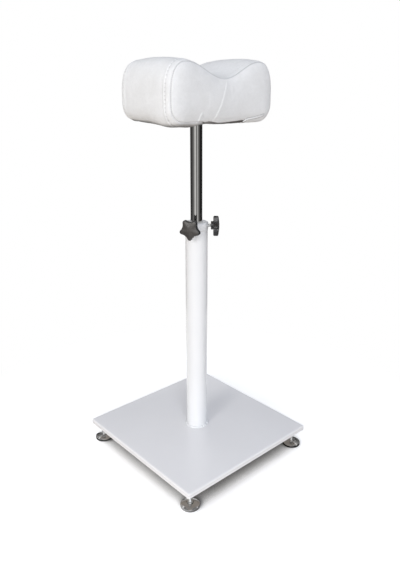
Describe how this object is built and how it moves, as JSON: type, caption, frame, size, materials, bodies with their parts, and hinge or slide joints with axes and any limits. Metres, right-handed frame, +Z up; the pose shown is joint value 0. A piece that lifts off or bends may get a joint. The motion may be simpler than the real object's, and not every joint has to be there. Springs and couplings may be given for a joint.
{
  "type": "pedicure footrest",
  "caption": "Height-adjustable pedicure footrest: square steel base on levelling feet, white column, chrome sliding post with star-knob clamps, and a saddle-shaped cushion.",
  "frame": {"origin": "on the floor under the column's axis, at the centre of the square base", "axes": "+Z up along the column; X along the cushion's length, over its two humps; Y along the saddle's channel"},
  "size_m": [0.32, 0.32, 0.7638],
  "materials": {
    "white_coat": "satin powder coat",
    "chrome": "polished",
    "zinc": "zinc plated",
    "black_plastic": "fine-grained",
    "nylon": "natural",
    "leatherette": "fine-grained leatherette",
    "foam": "open-cell foam",
    "plywood": "raw",
    "rubber": "matte"
  },
  "bodies": {
    "base": {"base_pan": "white_coat", "column_tube": "white_coat", "column_weld": "white_coat", "column_collar": "white_coat", "foot_nut_1": "zinc", "foot_nut_2": "zinc", "foot_nut_3": "zinc", "foot_nut_4": "zinc"},
    "slider": {"guide_bush": "nylon"},
    "seat": {"inner_tube": "chrome", "seat_flange": "zinc", "flange_weld": "zinc", "flange_screw_1": "zinc", "flange_screw_2": "zinc", "flange_screw_3": "zinc", "flange_screw_4": "zinc", "cushion_board": "plywood", "foam_core": "foam", "cushion_cover": "leatherette"},
    "clamp_front_stud": {"clamp_stud_front": "zinc"},
    "clamp_front_knob": {"clamp_knob_front": "black_plastic"},
    "clamp_side_stud": {"clamp_stud_side": "zinc"},
    "clamp_side_knob": {"clamp_knob_side": "black_plastic"},
    "foot_1_stud": {"foot_stud_1": "zinc"},
    "foot_1_disc": {"foot_disc_1": "chrome", "foot_pad_1": "rubber"},
    "foot_2_stud": {"foot_stud_2": "zinc"},
    "foot_2_disc": {"foot_disc_2": "chrome", "foot_pad_2": "rubber"},
    "foot_3_stud": {"foot_stud_3": "zinc"},
    "foot_3_disc": {"foot_disc_3": "chrome", "foot_pad_3": "rubber"},
    "foot_4_stud": {"foot_stud_4": "zinc"},
    "foot_4_disc": {"foot_disc_4": "chrome", "foot_pad_4": "rubber"}
  },
  "joints": [
    {"name": "height_slide", "type": "slide", "parent": "base", "child": "slider", "axis": [0, 0, 1], "range_m": [-0.15, 0.1]},
    {"name": "seat_swivel", "type": "hinge", "parent": "slider", "child": "seat", "pos_m": [0, 0, 0.66], "axis": [0, 0, 1], "continuous": true},
    {"name": "clamp_front_slide", "type": "slide", "parent": "base", "child": "clamp_front_stud", "axis": [-0.866, -0.5, 0], "range_m": [0, 0.006]},
    {"name": "clamp_front_turn", "type": "hinge", "parent": "clamp_front_stud", "child": "clamp_front_knob", "pos_m": [0, 0, 0.4728], "axis": [-0.866, -0.5, 0], "range_deg": [0, 2161]},
    {"name": "clamp_side_slide", "type": "slide", "parent": "base", "child": "clamp_side_stud", "axis": [0.7193, -0.6947, 0], "range_m": [0, 0.006]},
    {"name": "clamp_side_turn", "type": "hinge", "parent": "clamp_side_stud", "child": "clamp_side_knob", "pos_m": [0, 0, 0.4728], "axis": [0.7193, -0.6947, 0], "range_deg": [0, 2161]},
    {"name": "foot_1_slide", "type": "slide", "parent": "base", "child": "foot_1_stud", "axis": [0, 0, -1], "range_m": [0, 0.005]},
    {"name": "foot_1_turn", "type": "hinge", "parent": "foot_1_stud", "child": "foot_1_disc", "pos_m": [-0.142, -0.142, 0], "axis": [0, 0, -1], "range_deg": [0, 1441]},
    {"name": "foot_2_slide", "type": "slide", "parent": "base", "child": "foot_2_stud", "axis": [0, 0, -1], "range_m": [0, 0.005]},
    {"name": "foot_2_turn", "type": "hinge", "parent": "foot_2_stud", "child": "foot_2_disc", "pos_m": [-0.142, 0.142, 0], "axis": [0, 0, -1], "range_deg": [0, 1441]},
    {"name": "foot_3_slide", "type": "slide", "parent": "base", "child": "foot_3_stud", "axis": [0, 0, -1], "range_m": [0, 0.005]},
    {"name": "foot_3_turn", "type": "hinge", "parent": "foot_3_stud", "child": "foot_3_disc", "pos_m": [0.142, -0.142, 0], "axis": [0, 0, -1], "range_deg": [0, 1441]},
    {"name": "foot_4_slide", "type": "slide", "parent": "base", "child": "foot_4_stud", "axis": [0, 0, -1], "range_m": [0, 0.005]},
    {"name": "foot_4_turn", "type": "hinge", "parent": "foot_4_stud", "child": "foot_4_disc", "pos_m": [0.142, 0.142, 0], "axis": [0, 0, -1], "range_deg": [0, 1441]}
  ],
  "couplings": [
    {"joint": "clamp_front_turn", "follows": "clamp_front_slide", "rad_per_m": 6283.2},
    {"joint": "clamp_side_turn", "follows": "clamp_side_slide", "rad_per_m": 6283.2},
    {"joint": "foot_1_turn", "follows": "foot_1_slide", "rad_per_m": 5026.5},
    {"joint": "foot_2_turn", "follows": "foot_2_slide", "rad_per_m": 5026.5},
    {"joint": "foot_3_turn", "follows": "foot_3_slide", "rad_per_m": 5026.5},
    {"joint": "foot_4_turn", "follows": "foot_4_slide", "rad_per_m": 5026.5}
  ]
}
